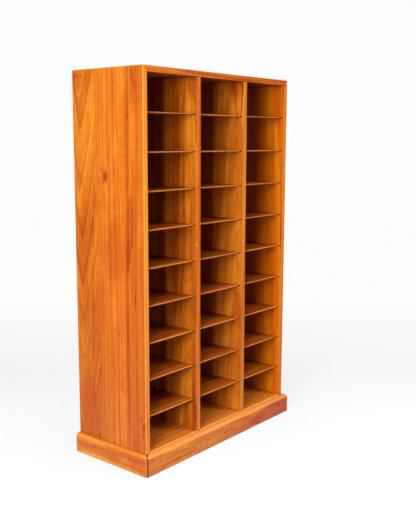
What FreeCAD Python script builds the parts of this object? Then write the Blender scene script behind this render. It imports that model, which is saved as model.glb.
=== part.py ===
import FreeCAD, Part
import os

# Pigeonhole cabinet: three columns of open pigeonholes in a case of solid boards on a plinth.
# Lengths are in millimetres. X runs across the front to the right, Y from the front to the
# back, and Z up. The origin is on the floor, in the middle of the plinth's footprint.

# Pigeonholes, as clear sizes between the boards
column_names = ("left", "middle", "right")
shelves_per_column = 9
cell_width = 300.0
cell_height = 151.0
top_cell_height = 152.0
bottom_cell_height = 142.0

# Boards of the case
case_depth = 412.0
side_thickness = 26.0
divider_thickness = 26.0
top_thickness = 25.0
floor_thickness = 20.0
arris_radius = 5.0
floor_arris_radius = 3.0

# Stopped housings, which hold the floor board, the back rail and the ends of the dividers
housing_depth = 6.0
housing_stop = 12.0

# Loose tongues inside the two mitred top corners
tongue_width = 18.0
tongue_thickness = 4.0
tongue_stop = 15.0
tongue_slack = 0.1

# Shelves and the stopped grooves that they slide into from the back
shelf_thickness = 6.0
shelf_setback = 20.0
shelf_nose_radius = 2.5
shelf_nose_flat = 0.5
groove_depth = 8.0
groove_stop = 10.0
groove_slack = 0.4
shelf_end_slack = 0.5

# Matched back boards in a recess behind the shelves
back_thickness = 12.0
back_board_count = 8
recess_width = 12.0
back_end_slack = 1.0
match_length = 5.0
match_thickness = 4.0
match_slack = 0.3
match_gap = 0.6
match_chamfer = 2.0

# Countersunk slotted screws, which hold the back boards
screw_radius = 2.0
screw_head_radius = 3.9
screw_length = 32.0
screw_tip_length = 5.0
screw_sink = 0.3
screw_slack = 0.05
slot_width = 1.0
slot_depth = 1.1
slot_turn = 37.0
screw_row_step = 3

# Rail and bearers, which carry the floor board inside the plinth
rail_thickness = 26.0
bearer_thickness = 26.0

# Plinth boards round the foot of the case
plinth_height = 87.0
plinth_front_thickness = 28.0
plinth_side_thickness = 24.0
plinth_corner_radius = 16.0
plinth_top_radius = 15.0
plinth_foot_radius = 4.0
mitre_opening = 1.5
floor_step = 7.0

# Lost-head nails in the plinth, punched below the face and stopped with filler
nail_radius = 1.4
nail_head_radius = 2.0
nail_head_height = 1.5
nail_length = 42.0
nail_tip_length = 3.0
nail_sink = 2.0
nail_slack = 0.05
nail_inset = 20.0
nail_height = 17.0
side_nail_height = 43.0
side_nail_end = 60.0
side_nail_count = 3

# Places that follow from the sizes
column_count = len(column_names)
divider_count = column_count - 1
case_width = column_count * cell_width + divider_count * divider_thickness + 2 * side_thickness
case_left = -case_width / 2
case_right = case_width / 2
inner_left = case_left + side_thickness
inner_right = case_right - side_thickness
case_front = plinth_front_thickness - (case_depth + plinth_front_thickness) / 2
case_back = case_front + case_depth
back_front = case_back - back_thickness
rail_front = case_back - rail_thickness
floor_top = plinth_height + floor_step
floor_under = floor_top - floor_thickness
shelf_pitch = cell_height + shelf_thickness
first_shelf = floor_top + bottom_cell_height
last_shelf = first_shelf + (shelves_per_column - 1) * shelf_pitch
top_under = last_shelf + shelf_thickness + top_cell_height
case_height = top_under + top_thickness
recess_top = top_under + recess_width
# Width that one back board covers
cover = (inner_right - inner_left + 2 * recess_width) / back_board_count
# A small length for telling edges apart, and for running a cutter past a face
hair = 0.001
clear = 1.0


def block(x0, x1, y0, y1, z0, z1):
    return Part.makeBox(x1 - x0, y1 - y0, z1 - z0, FreeCAD.Vector(x0, y0, z0))


def prism(corners, along):
    """Solid over the polygon of corners, drawn out by the vector along."""
    wire = Part.makePolygon(corners + corners[:1])
    return Part.Face(wire).extrude(along)


def turned(profile):
    """Solid of revolution about Z from points of radius and height."""
    points = [FreeCAD.Vector(radius, 0, height) for radius, height in profile]
    wire = Part.makePolygon(points + points[:1])
    return Part.Face(wire).revolve(FreeCAD.Vector(0, 0, 0), FreeCAD.Vector(0, 0, 1), 360)


def near(a, b):
    return abs(a - b) < hair


def rounded(shape, radius, wanted):
    """Round each edge whose middle point the test wants."""
    edges = [edge for edge in shape.Edges if wanted(edge.CenterOfMass)]
    return shape.makeFillet(radius, edges)


def mirrored(shape):
    return shape.mirror(FreeCAD.Vector(0, 0, 0), FreeCAD.Vector(1, 0, 0))


def cut_where_met(shape, cutters):
    for cutter in cutters:
        if shape.BoundBox.intersect(cutter.BoundBox):
            shape = shape.cut(cutter)
    return shape


def divider_middles():
    """Centre line of each divider, from left to right."""
    pitch = cell_width + divider_thickness
    first = inner_left + cell_width + divider_thickness / 2
    return [first + index * pitch for index in range(divider_count)]


def shelf_level(number):
    """Underside of a shelf, where shelf 1 is the highest."""
    return last_shelf - (number - 1) * shelf_pitch


def case_outline():
    """Outer form of the case, with its front and top edges rounded."""
    outline = block(case_left, case_right, case_front, case_back, 0, case_height)

    def outer_edge(middle):
        at_front = near(middle.y, case_front)
        at_side = near(middle.x, case_left) or near(middle.x, case_right)
        at_top = near(middle.z, case_height)
        return (at_front and at_side) or (at_top and (at_front or at_side))

    return rounded(outline, arris_radius, outer_edge)


def back_recess():
    return block(inner_left - recess_width, inner_right + recess_width,
                 back_front, case_back + clear, floor_under, recess_top)


def shelf_groove(face_x, into):
    """Stopped grooves for one column's shelves, cut from the face at face_x."""
    height = shelf_thickness + groove_slack
    left = min(face_x, face_x + into * groove_depth)
    end_y = case_front + groove_stop + height / 2
    grooves = []
    for number in range(1, shelves_per_column + 1):
        level = shelf_level(number)
        run = block(left, left + groove_depth, end_y, case_back, level, level + height)
        end_centre = FreeCAD.Vector(left, end_y, level + height / 2)
        end = Part.makeCylinder(height / 2, groove_depth, end_centre, FreeCAD.Vector(1, 0, 0))
        grooves.append(run.fuse(end))
    return grooves


def floor_blank():
    """Floor board with its stopped ends, before the dividers are let in."""
    board = block(inner_left, inner_right, case_front, back_front, floor_under, floor_top)

    def front_top(middle):
        return near(middle.y, case_front) and near(middle.z, floor_top)

    board = rounded(board, floor_arris_radius, front_top)
    ends = block(inner_left - housing_depth, inner_right + housing_depth,
                 case_front + housing_stop, back_front, floor_under, floor_top)
    return board.fuse(ends).removeSplitter()


def back_rail():
    return block(inner_left - housing_depth, inner_right + housing_depth,
                 rail_front, case_back, 0, floor_under)


def divider_stub(middle, low, high):
    """Stopped end of a divider, which is let into the floor or the top board."""
    half = divider_thickness / 2
    return block(middle - half, middle + half, case_front + housing_stop, back_front, low, high)


def floor_stub(middle):
    return divider_stub(middle, floor_top - housing_depth, floor_top)


def top_stub(middle):
    return divider_stub(middle, top_under, top_under + housing_depth)


def top_tongue(slack):
    """Loose tongue square across the left mitre, swollen by slack for its groove."""
    length = tongue_width + 2 * slack
    thickness = tongue_thickness + 2 * slack
    first = case_front + tongue_stop - slack
    last = back_front - tongue_stop + slack
    tongue = Part.makeBox(length, last - first, thickness,
                          FreeCAD.Vector(-length / 2, first, -thickness / 2))
    mitre = FreeCAD.Vector(side_thickness, 0, -top_thickness)
    square = FreeCAD.Vector(top_thickness, 0, side_thickness)
    tongue.Placement = FreeCAD.Placement(
        FreeCAD.Vector(case_left, 0, case_height) + mitre * 0.5,
        FreeCAD.Rotation(FreeCAD.Vector(1, 0, 0), square))
    return tongue


def left_side():
    board = block(case_left, inner_left, case_front, case_back, 0, case_height)

    def inner_front(middle):
        return near(middle.x, inner_left) and near(middle.y, case_front)

    board = rounded(board, arris_radius, inner_front)
    mitre_waste = prism([FreeCAD.Vector(case_left, case_front - clear, case_height),
                         FreeCAD.Vector(inner_left, case_front - clear, top_under),
                         FreeCAD.Vector(inner_left, case_front - clear, case_height)],
                        FreeCAD.Vector(0, case_depth + 2 * clear, 0))
    board = board.cut(mitre_waste).common(case_outline())
    cutters = shelf_groove(inner_left, -1)
    cutters += [floor_blank(), back_rail(), back_recess(), top_tongue(tongue_slack)]
    return cut_where_met(board, cutters)


def top_board():
    board = block(case_left, case_right, case_front, case_back, top_under, case_height)

    def front_under(middle):
        return near(middle.y, case_front) and near(middle.z, top_under)

    board = rounded(board, arris_radius, front_under)
    mitre_waste = prism([FreeCAD.Vector(case_left, case_front - clear, case_height),
                         FreeCAD.Vector(case_left, case_front - clear, top_under),
                         FreeCAD.Vector(inner_left, case_front - clear, top_under)],
                        FreeCAD.Vector(0, case_depth + 2 * clear, 0))
    board = board.cut(mitre_waste).cut(mirrored(mitre_waste)).common(case_outline())
    tongue_groove = top_tongue(tongue_slack)
    cutters = [back_recess(), tongue_groove, mirrored(tongue_groove)]
    cutters += [top_stub(middle) for middle in divider_middles()]
    return cut_where_met(board, cutters)


def floor_board():
    return cut_where_met(floor_blank(), [floor_stub(middle) for middle in divider_middles()])


def divider(middle):
    left_face = middle - divider_thickness / 2
    right_face = middle + divider_thickness / 2
    board = block(left_face, right_face, case_front, back_front, floor_top, top_under)

    def front_corner(point):
        return near(point.y, case_front) and near(abs(point.x - middle), divider_thickness / 2)

    board = rounded(board, arris_radius, front_corner)
    board = board.fuse([floor_stub(middle), top_stub(middle)]).removeSplitter()
    return cut_where_met(board, shelf_groove(left_face, 1) + shelf_groove(right_face, -1))


def shelf(column, number):
    """Thin shelf that rests on the lower faces of its grooves."""
    cell_left = inner_left + column * (cell_width + divider_thickness)
    left = cell_left - groove_depth + shelf_end_slack
    right = cell_left + cell_width + groove_depth - shelf_end_slack
    front = case_front + shelf_setback
    level = shelf_level(number)
    board = block(left, right, front, back_front - shelf_end_slack, level, level + shelf_thickness)
    nose = min(shelf_nose_radius, (shelf_thickness - shelf_nose_flat) / 2)

    def long_front_edge(middle):
        return near(middle.y, front) and near(middle.x, (left + right) / 2)

    return rounded(board, nose, long_front_edge)


def back_board(index):
    """Upright board with a tongue on its right edge and a groove in its left edge."""
    left = inner_left - recess_width + index * cover
    right = left + cover - match_gap
    is_first = index == 0
    is_last = index == back_board_count - 1
    if is_last:
        right = left + cover
    middle_y = back_front + back_thickness / 2
    low = floor_under
    high = recess_top - back_end_slack
    board = block(left, right, back_front, case_back, low, high)
    joint_edges = []
    if not is_first:
        joint_edges.append(left)
    if not is_last:
        joint_edges.append(right)

    def joint_corner(point):
        on_joint = any(near(point.x, edge) for edge in joint_edges)
        return on_joint and not near(point.y, middle_y)

    edges = [edge for edge in board.Edges if joint_corner(edge.CenterOfMass)]
    board = board.makeChamfer(match_chamfer, edges)
    if not is_last:
        tongue = block(right, right + match_length, middle_y - match_thickness / 2,
                       middle_y + match_thickness / 2, low, high)
        board = board.fuse(tongue).removeSplitter()
    if not is_first:
        half = match_thickness / 2 + match_slack
        depth = match_length + match_slack - match_gap
        groove = block(left - clear, left + depth, middle_y - half, middle_y + half, low, high)
        board = board.cut(groove)
    return board


def screw_places():
    """Where the screws stand in the back, as X and Z."""
    first = inner_left - recess_width + cover / 2
    board_middles = [first + index * cover for index in range(back_board_count)]
    places = [(x, floor_top - floor_thickness / 2) for x in board_middles]
    places += [(x, top_under + recess_width / 2) for x in board_middles]
    uprights = [inner_left - recess_width / 2] + divider_middles() + [inner_right + recess_width / 2]
    for number in range(1, shelves_per_column, screw_row_step):
        level = shelf_level(number) - cell_height / 2
        places += [(x, level) for x in uprights]
    return places


def into_back(shape, x, z):
    """Turn a shape that points down Z so that it points into the back at X and Z."""
    shape.rotate(FreeCAD.Vector(0, 0, 0), FreeCAD.Vector(1, 0, 0), -90)
    shape.translate(FreeCAD.Vector(x, case_back - screw_sink, z))
    return shape


def screw(index, x, z):
    cone = screw_head_radius - screw_radius
    body = turned([(0, 0), (screw_head_radius, 0), (screw_radius, -cone),
                   (screw_radius, screw_tip_length - screw_length), (0, -screw_length)])
    slot = block(-screw_head_radius - clear, screw_head_radius + clear,
                 -slot_width / 2, slot_width / 2, -slot_depth, clear)
    body = body.cut(slot)
    body.rotate(FreeCAD.Vector(0, 0, 0), FreeCAD.Vector(0, 0, 1), index * slot_turn)
    return into_back(body, x, z)


def screw_hole(x, z):
    cone = screw_head_radius - screw_radius
    mouth = screw_sink + clear
    hole = turned([(0, mouth), (screw_head_radius + screw_slack, mouth),
                   (screw_head_radius + screw_slack, 0), (screw_radius + screw_slack, -cone),
                   (screw_radius + screw_slack, -screw_length - screw_slack),
                   (0, -screw_length - screw_slack)])
    return into_back(hole, x, z)


def plinth_ring():
    """The three plinth boards as one rounded band, before it is mitred apart."""
    left = case_left - plinth_side_thickness
    right = case_right + plinth_side_thickness
    front = case_front - plinth_front_thickness
    ring = block(left, right, front, case_back, 0, plinth_height)

    def front_corner(middle):
        return near(middle.y, front) and (near(middle.x, left) or near(middle.x, right))

    def outer_top(middle):
        return near(middle.z, plinth_height) and not near(middle.y, case_back)

    def outer_foot(middle):
        return near(middle.z, 0) and not near(middle.y, case_back)

    ring = rounded(ring, plinth_corner_radius, front_corner)
    ring = rounded(ring, min(plinth_top_radius, plinth_corner_radius - clear), outer_top)
    ring = rounded(ring, plinth_foot_radius, outer_foot)
    inside = block(case_left, case_right, case_front, case_back + clear, -clear, plinth_height + clear)
    return ring.cut(inside)


def mitre_line():
    """Inner end of the left mitre, and a point out past its outer end."""
    inner = FreeCAD.Vector(case_left, case_front, 0)
    outer = inner + FreeCAD.Vector(-plinth_side_thickness, -plinth_front_thickness, 0) * 2
    return inner, outer


def plinth_front():
    inner, outer = mitre_line()
    far_inner = FreeCAD.Vector(-inner.x, inner.y, 0)
    far_outer = FreeCAD.Vector(-outer.x, outer.y, 0)
    wedge = prism([inner, far_inner, far_outer, outer], FreeCAD.Vector(0, 0, plinth_height + clear))
    return plinth_ring().common(wedge)


def plinth_left():
    inner, outer = mitre_line()
    opening = FreeCAD.Vector(0, mitre_opening, 0)
    outer_back = FreeCAD.Vector(outer.x, case_back + clear, 0)
    inner_back = FreeCAD.Vector(inner.x, case_back + clear, 0)
    wedge = prism([inner + opening, inner_back, outer_back, outer + opening],
                  FreeCAD.Vector(0, 0, plinth_height + clear))
    return plinth_ring().common(wedge)


def bearer(middle):
    half = bearer_thickness / 2
    return block(middle - half, middle + half, case_front, rail_front, 0, floor_under)


def nail_profile(radius, head_radius, head_low, head_high):
    """Lost-head nail that points down Z, with its plinth face at height zero."""
    tip = -nail_sink - nail_length
    return [(0, head_high), (head_radius, head_high), (head_radius, head_low), (radius, head_low),
            (radius, tip + nail_tip_length), (0, tip)]


def nail():
    return turned(nail_profile(nail_radius, nail_head_radius,
                               -nail_sink - nail_head_height, -nail_sink))


def nail_hole():
    return turned(nail_profile(nail_radius + nail_slack, nail_head_radius + nail_slack,
                               -nail_sink - nail_head_height, clear))


def nail_stopping():
    return Part.makeCylinder(nail_head_radius, nail_sink, FreeCAD.Vector(0, 0, -nail_sink))


def nails_placed(make_one):
    """One nail, hole or stopping at each place in the plinth."""
    placed = []
    front = case_front - plinth_front_thickness
    front_places = [case_left + nail_inset] + divider_middles() + [case_right - nail_inset]
    for x in front_places:
        item = make_one()
        item.rotate(FreeCAD.Vector(0, 0, 0), FreeCAD.Vector(1, 0, 0), 90)
        item.translate(FreeCAD.Vector(x, front, nail_height))
        placed.append(item)
    first = case_front + side_nail_end
    spread = (case_depth - 2 * side_nail_end) / (side_nail_count - 1)
    for index in range(side_nail_count):
        item = make_one()
        item.rotate(FreeCAD.Vector(0, 0, 0), FreeCAD.Vector(0, 1, 0), -90)
        item.translate(FreeCAD.Vector(case_left - plinth_side_thickness,
                                      first + index * spread, side_nail_height))
        placed.append(item)
        placed.append(mirrored(item))
    return placed


def sub_parts():
    """Every piece of the cabinet by name."""
    screw_holes = [screw_hole(x, z) for x, z in screw_places()]
    nail_holes = nails_placed(nail_hole)
    holes = screw_holes + nail_holes
    side = left_side()
    tongue = top_tongue(0)
    plinth_side = plinth_left()
    pieces = {
        "left_side": cut_where_met(side, holes),
        "right_side": cut_where_met(mirrored(side), holes),
        "top_board": cut_where_met(top_board(), screw_holes),
        "floor_board": cut_where_met(floor_board(), screw_holes),
        "top_tongue_left": tongue,
        "top_tongue_right": mirrored(tongue),
        "back_rail": back_rail(),
        "plinth_front": cut_where_met(plinth_front(), nail_holes),
        "plinth_left": cut_where_met(plinth_side, nail_holes),
        "plinth_right": cut_where_met(mirrored(plinth_side), nail_holes),
        "back_screws": Part.makeCompound(
            [screw(index, x, z) for index, (x, z) in enumerate(screw_places())]),
        "plinth_nails": Part.makeCompound(nails_placed(nail)),
        "nail_stopping": Part.makeCompound(nails_placed(nail_stopping)),
    }
    for index, middle in enumerate(divider_middles()):
        pieces["divider_%d" % (index + 1)] = cut_where_met(divider(middle), screw_holes)
        pieces["floor_bearer_%d" % (index + 1)] = cut_where_met(bearer(middle), nail_holes)
    for index in range(back_board_count):
        pieces["back_board_%d" % (index + 1)] = cut_where_met(back_board(index), screw_holes)
    for column, column_name in enumerate(column_names):
        for number in range(1, shelves_per_column + 1):
            pieces["shelf_%s_%d" % (column_name, number)] = shelf(column, number)
    return pieces


os.makedirs("parts", exist_ok=True)
for name, shape in sub_parts().items():
    shape.exportStep(os.path.join("parts", name + ".step"))
    print(name, "solids", len(shape.Solids), "valid", shape.isValid(), "volume", round(shape.Volume))
print("case", case_width, "by", case_depth, "by", case_height, "mm")
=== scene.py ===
# %% [markdown]
# # A pigeonhole cabinet, dressed in Blender
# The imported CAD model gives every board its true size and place. This lesson adds what the eye
# sees: a camera, soft light, and varnished boards whose grain runs the way each was sawn. One
# unit is one metre. X runs across the front to the right, Y from the front to the back, Z up.

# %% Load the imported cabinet
import math

import bmesh
import bpy
from mathutils import Matrix, Vector


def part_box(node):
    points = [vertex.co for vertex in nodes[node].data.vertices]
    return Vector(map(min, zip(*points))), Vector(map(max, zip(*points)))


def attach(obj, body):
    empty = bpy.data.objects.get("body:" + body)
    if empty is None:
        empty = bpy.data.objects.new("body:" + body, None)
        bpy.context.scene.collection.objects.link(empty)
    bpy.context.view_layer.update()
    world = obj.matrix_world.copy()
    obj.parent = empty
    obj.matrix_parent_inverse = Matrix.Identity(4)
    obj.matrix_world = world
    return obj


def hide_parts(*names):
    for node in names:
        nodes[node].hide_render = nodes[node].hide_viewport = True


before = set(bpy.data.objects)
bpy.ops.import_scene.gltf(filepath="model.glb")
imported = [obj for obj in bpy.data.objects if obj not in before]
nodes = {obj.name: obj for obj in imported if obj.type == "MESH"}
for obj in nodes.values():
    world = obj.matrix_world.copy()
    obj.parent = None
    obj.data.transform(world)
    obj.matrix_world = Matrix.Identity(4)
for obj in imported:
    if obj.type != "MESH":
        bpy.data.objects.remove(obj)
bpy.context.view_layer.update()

# %% [markdown]
# ## Camera
# A camera is a place, a direction and a lens. The photographer stood in front and to the left,
# a little below the top of the cabinet, and looked slightly down. Turning by yaw, then pitch,
# then roll gives the same view with no lens shift, so the uprights lean just as they should.

# %% Camera
CAMERA_PLACE = Vector((-2.637, -2.2769, 1.3848))
YAW, PITCH, ROLL = (math.radians(angle) for angle in (50.5716, -9.0065, 0.2273))


def new_object(name, data):
    """A new object in the scene."""
    made = bpy.data.objects.new(name, data)
    scene.collection.objects.link(made)
    return made


scene = bpy.context.scene
camera = new_object("camera", bpy.data.cameras.new("camera"))
camera.data.lens = 52.093
turn = (Matrix.Rotation(-YAW, 4, "Z") @ Matrix.Rotation(math.pi / 2 + PITCH, 4, "X")
        @ Matrix.Rotation(ROLL, 4, "Z"))
camera.matrix_world = Matrix.Translation(CAMERA_PLACE) @ turn
scene.camera = camera
scene.view_settings.view_transform = "Standard"
print("camera at", tuple(camera.location))

# %% [markdown]
# ## Helpers for every node tree
# A material is a small network of nodes. One function adds a node, sets its properties and
# fills its inputs with values or with links from other nodes. Two more start an empty material
# and a node group. Colours are written as the sRGB hex codes that a paint program shows, and one
# function turns them to linear light.

# %% Node helpers
def srgb(code):
    """Linear colour with full alpha from an sRGB hex code such as E0873A."""
    shown = [int(code[start:start + 2], 16) / 255 for start in (0, 2, 4)]
    linear = [c / 12.92 if c <= 0.04045 else ((c + 0.055) / 1.055) ** 2.4 for c in shown]
    return (*linear, 1.0)


# The property behind the first menu of a node, where that isn't its operation
MENUS = {"Mix": "data_type", "MapRange": "interpolation_type", "TexNoise": "noise_dimensions"}


def add(tree, kind, feeds=(), stops=(), **settings):
    """Adds a node, fills its inputs with values or links, and gives its outputs.

    The kind is the type without ShaderNode, or any other type in full, and after a space what
    the node's first menu says, as in Math ADD. feeds is a list of inputs in order, or names or
    numbers them. stops are those of a colour ramp, and settings are other properties.
    """
    kind, _, choice = kind.partition(" ")
    made = tree.nodes.new(kind if "Node" in kind else "ShaderNode" + kind)
    if choice:
        settings[MENUS.get(kind, "operation")] = choice
    for name, value in settings.items():
        setattr(made, name, value)
    ramp = made.color_ramp.elements if stops else ()
    while len(ramp) < len(stops):
        ramp.new(0.5)
    for element, (place, colour) in zip(ramp, stops):
        element.position = place
        element.color = colour
    for key, value in feeds.items() if isinstance(feeds, dict) else enumerate(feeds):
        if isinstance(value, bpy.types.NodeSocket):
            tree.links.new(value, made.inputs[key])
        else:
            made.inputs[key].default_value = value
    return made.outputs


def blank_material(name):
    """A new material and its node tree, which is empty."""
    made = bpy.data.materials.new(name)
    made.use_nodes = True
    made.node_tree.nodes.clear()
    return made, made.node_tree


def node_group(name, inputs, outputs, kind="ShaderNodeTree"):
    """A new node group and what comes into it. Its sockets are given as names under their type."""
    made = bpy.data.node_groups.new(name, kind)
    for in_out, sockets in (("INPUT", inputs), ("OUTPUT", outputs)):
        for family, names in sockets.items():
            for socket in names:
                made.interface.new_socket(socket, in_out=in_out, socket_type="NodeSocket" + family)
    return made, add(made, "NodeGroupInput")


print("orange E0873A in linear light:", srgb("E0873A")[:3])

# %% [markdown]
# ## White paper and white surroundings
# The cabinet stands on white paper that is overexposed until it is nearly white. Real paper would
# need very strong light for that, so here the floor glows by itself where the camera sees it, and
# takes only a breath of shadow. As a light on the wood, floor and surroundings are much weaker,
# which keeps the pigeonholes dark inside.

# %% White surroundings
world = bpy.data.worlds.new("white_studio")
world.use_nodes = True
air = world.node_tree
air.nodes.clear()
ray = add(air, "LightPath")
power = add(air, "MapRange", {0: ray["Is Glossy Ray"], 3: 0.6, 4: 0.06})[0]
glow = add(air, "Background", {"Color": srgb("FFFFFF"), "Strength": power})[0]
shown = add(air, "Background", {"Color": srgb("FDFDFD")})[0]
both = add(air, "MixShader", [ray["Is Camera Ray"], glow, shown])[0]
add(air, "OutputWorld", {"Surface": both})
scene.world = world
print("surroundings:", world.name, "with", len(air.nodes), "nodes")

# %% [markdown]
# ## Paper sweep
# The paper lies a millimetre under the cabinet, so that the two never fight for the same place.
# Its tone depends on how far it lies from the camera, with a greyer band of painted shade where
# real paper would start to curve up, away from the light. The varnish mirrors the paper near the
# cabinet, but not further off.

# %% Paper sweep
SWEEP_HALF = 9.0
SWEEP_DROP = 0.001
VIEW_FORWARD = (math.sin(YAW), math.cos(YAW), 0.0)
# These tones grey towards a band of painted shade where real paper would curve up
PAPER_TONES = ((0.0, "FFFFFF"), (0.24, "F8F8F9"), (0.38, "F1F1F2"), (0.52, "F9F9FA"), (0.75, "FFFFFF"))

sweep_mesh = bpy.data.meshes.new("paper_sweep")
corners = [(x * SWEEP_HALF, y * SWEEP_HALF, -SWEEP_DROP) for x, y in ((-1, -1), (1, -1), (1, 1), (-1, 1))]
sweep_mesh.from_pydata(corners, [], [(0, 1, 2, 3)])
sweep = new_object("paper_sweep", sweep_mesh)
# Uncoated paper, rolled smooth: matt and overexposed, without any grain
paper, sheet = blank_material("rolled_white_paper")
spot = add(sheet, "TexCoord")["Object"]
depth = add(sheet, "VectorMath DOT_PRODUCT", [spot, VIEW_FORWARD])["Value"]
# From 1 m in front of the cabinet's middle to 4 m behind it
depth = add(sheet, "MapRange", [depth, -1.0, 4.0])[0]
tone = add(sheet, "ValToRGB", [depth], [(at, srgb(code)) for at, code in PAPER_TONES])[0]
ray = add(sheet, "LightPath")
far = add(sheet, "VectorMath LENGTH", [spot])["Value"]
mirrored = add(sheet, "MapRange", [far, 0.6, 1.7, 0.65, 0.0])[0]
power = add(sheet, "MapRange", {0: ray["Is Glossy Ray"], 3: 0.26, 4: mirrored})[0]
power = add(sheet, "MapRange", {0: ray["Is Camera Ray"], 3: power, 4: 0.98})[0]
lit = add(sheet, "Emission", {"Color": tone, "Strength": power})[0]
matt = add(sheet, "BsdfDiffuse", {"Color": srgb("F0F0F0")})[0]
share = add(sheet, "MapRange", [depth, 0.35, 0.75, 0.84, 1.0])[0]
# Far from the cabinet nothing shades the paper, so no side shows a horizon
clear_of = add(sheet, "MapRange", [far, 2.6, 4.0])[0]
share = add(sheet, "Math MAXIMUM", [share, clear_of])[0]
mixed = add(sheet, "MixShader", [share, matt, lit])[0]
add(sheet, "OutputMaterial", {"Surface": mixed})
sweep_mesh.materials.append(paper)
print("paper sweep", 2 * SWEEP_HALF, "m square")

# %% [markdown]
# ## Soft boxes
# Three soft boxes make the shading of the photograph. The strong one stands on the left, nearly
# square to the left side, so it also shines a hand's breadth into the pigeonholes. It hangs as
# high as the top board, so each shelf shades the wall under it. A weaker one in front and to the
# right lifts the front edges. One overhead brightens the rounded plinth top.

# %% Lights
LIGHT_AIM = Vector((0, -0.1, 0.9))
LIGHT_DISTANCE = 3.5


def soft_box(name, azimuth, elevation, width, height, watts):
    """Soft box round the cabinet. The azimuth turns from the front towards the left, in degrees."""
    light = bpy.data.lights.new(name, "AREA")
    light.shape = "RECTANGLE"
    light.size = width
    light.size_y = height
    light.energy = watts
    around, up = math.radians(azimuth), math.radians(elevation)
    away = Vector((-math.sin(around) * math.cos(up), -math.cos(around) * math.cos(up), math.sin(up)))
    box = new_object(name, light)
    box.location = LIGHT_AIM + away * LIGHT_DISTANCE
    box.rotation_euler = away.to_track_quat("Z", "Y").to_euler()
    box.visible_camera = False
    print(name, tuple(round(part, 2) for part in box.location), watts, "W")
    return box


# The wide boards and the edges would mirror these two, and the photograph shows no such glare
soft_box("left_box", 70, 13, 1.3, 1.8, 180).visible_glossy = False
soft_box("front_box", -30, 20, 1.3, 1.3, 82).visible_glossy = False
soft_box("overhead_box", 0, 90, 1.3, 1.3, 77)

# %% [markdown]
# ## How wood gets its figure
# A tree grows in rings round its pith, and a board is a flat cut through those rings. So the
# pattern is worked out as the distance from a pith line that leans and wanders, and each glued
# stave gets a pith of its own. Where the saw passed near the pith, the rings come out as long
# pointed arches; further off they come out as straight stripes. All places are in millimetres.

# %% The figure of timber, as a node group
figure, given = node_group("timber_figure", {"Vector": ("Place", "Pith"), "Float": ("Seed", "Swell")},
                           {"Float": ("Growth", "Rings", "Streaks", "Fibres", "Curl")})
place, pith, seed = given["Place"], given["Pith"], given["Seed"]
# The trunk wanders by about 8 mm in half a metre
slow = add(figure, "VectorMath MULTIPLY", [place, (0.005, 0.005, 0.0016)])[0]
wander = add(figure, "TexNoise 4D", {"Vector": slow, "W": seed, "Scale": 1.0, "Detail": 1.0})[1]
wander = add(figure, "VectorMath SUBTRACT", [wander, (0.5, 0.5, 0.5)])[0]
wander = add(figure, "VectorMath MULTIPLY", [wander, (24.0, 24.0, 0.0)])[0]
bent = add(figure, "VectorMath ADD", [place, wander])[0]
spoke = add(figure, "VectorMath SUBTRACT", [bent, pith])[0]
spoke = add(figure, "VectorMath MULTIPLY", [spoke, (1.0, 1.0, 0.0)])[0]
radius = add(figure, "VectorMath LENGTH", [spoke])["Value"]
radius = add(figure, "Math ADD", [radius, given["Swell"]])[0]
# A trunk tapers, so the rings are nested cones
along = add(figure, "SeparateXYZ", [place])[2]
taper = add(figure, "SeparateXYZ", [pith])[2]
radius = add(figure, "Math MULTIPLY_ADD", [along, taper, radius])[0]
# Good and lean years alternate in bands about 16 mm wide
year = add(figure, "Math MULTIPLY_ADD", [radius, 0.06, seed])[0]
growth = add(figure, "TexNoise 1D", {"W": year, "Scale": 1.0, "Detail": 2.0, "Roughness": 0.55})[0]
# Single rings are 7 mm apart, with a dark late edge
ring = radius
for operation, by in (("DIVIDE", 7.0), ("FRACT", 0.0), ("POWER", 3.0)):
    ring = add(figure, "Math " + operation, [ring, by])[0]
# Streaks are 1 to 7 mm wide and up to a metre long, fibres 1.5 mm and 100 mm. Real fibres are
# a tenth as wide, too fine to show, so these are as coarse as they need to be. Curly grain
# shimmers in patches 30 mm wide and 22 mm high, with finer bars in them.
seen = {"Growth": growth, "Rings": ring}
NOISES = (("Streaks", (0.135, 0.135, 0.001), 3.0, 0.72), ("Fibres", (0.65, 0.65, 0.01), 2.0, 0.5),
          ("Curl", (0.033, 0.033, 0.045), 3.0, 0.62))
for name, stretch, detail, rough in NOISES:
    spot = add(figure, "VectorMath MULTIPLY", [bent, stretch])[0]
    seen[name] = add(figure, "TexNoise 4D",
                     {"Vector": spot, "W": seed, "Scale": 1.0, "Detail": detail, "Roughness": rough})[0]
add(figure, "NodeGroupOutput", seen)
print("figure nodes:", len(figure.nodes))

# %% [markdown]
# ## Strokes
# Some marks on an old board belong to that board alone: a flame, a glue line, a drying crack.
# Each is drawn as one stroke that runs from a start to an end and may change its width on the
# way, like a stroke of a brush. A stroke changes three things at once: how light the wood is,
# how red it is, and how deep the mark is cut.

# %% A stroke, as a node group
MARK = {"Float": ("Across", "Along", "Ragged", "Inner"), "Vector": ("From", "To", "Change", "Tone")}
stroke, given = node_group("grain_stroke", MARK, {"Vector": ("Tone",)})
begin = add(stroke, "SeparateXYZ", [given["From"]])
finish = add(stroke, "SeparateXYZ", [given["To"]])
ends = {0: given["Along"], 1: begin[1], 2: finish[1]}
step = add(stroke, "MapRange", ends)[0]
middle = add(stroke, "MapRange", {**ends, 3: begin[0], 4: finish[0]})[0]
half = add(stroke, "MapRange", {**ends, 3: begin[2], 4: finish[2]})[0]
off = given["Across"]
steps = (("SUBTRACT", middle), ("ABSOLUTE", 0.0), ("DIVIDE", half), ("ADD", given["Ragged"]))
for operation, by in steps:
    off = add(stroke, "Math " + operation, [off, by])[0]
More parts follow.
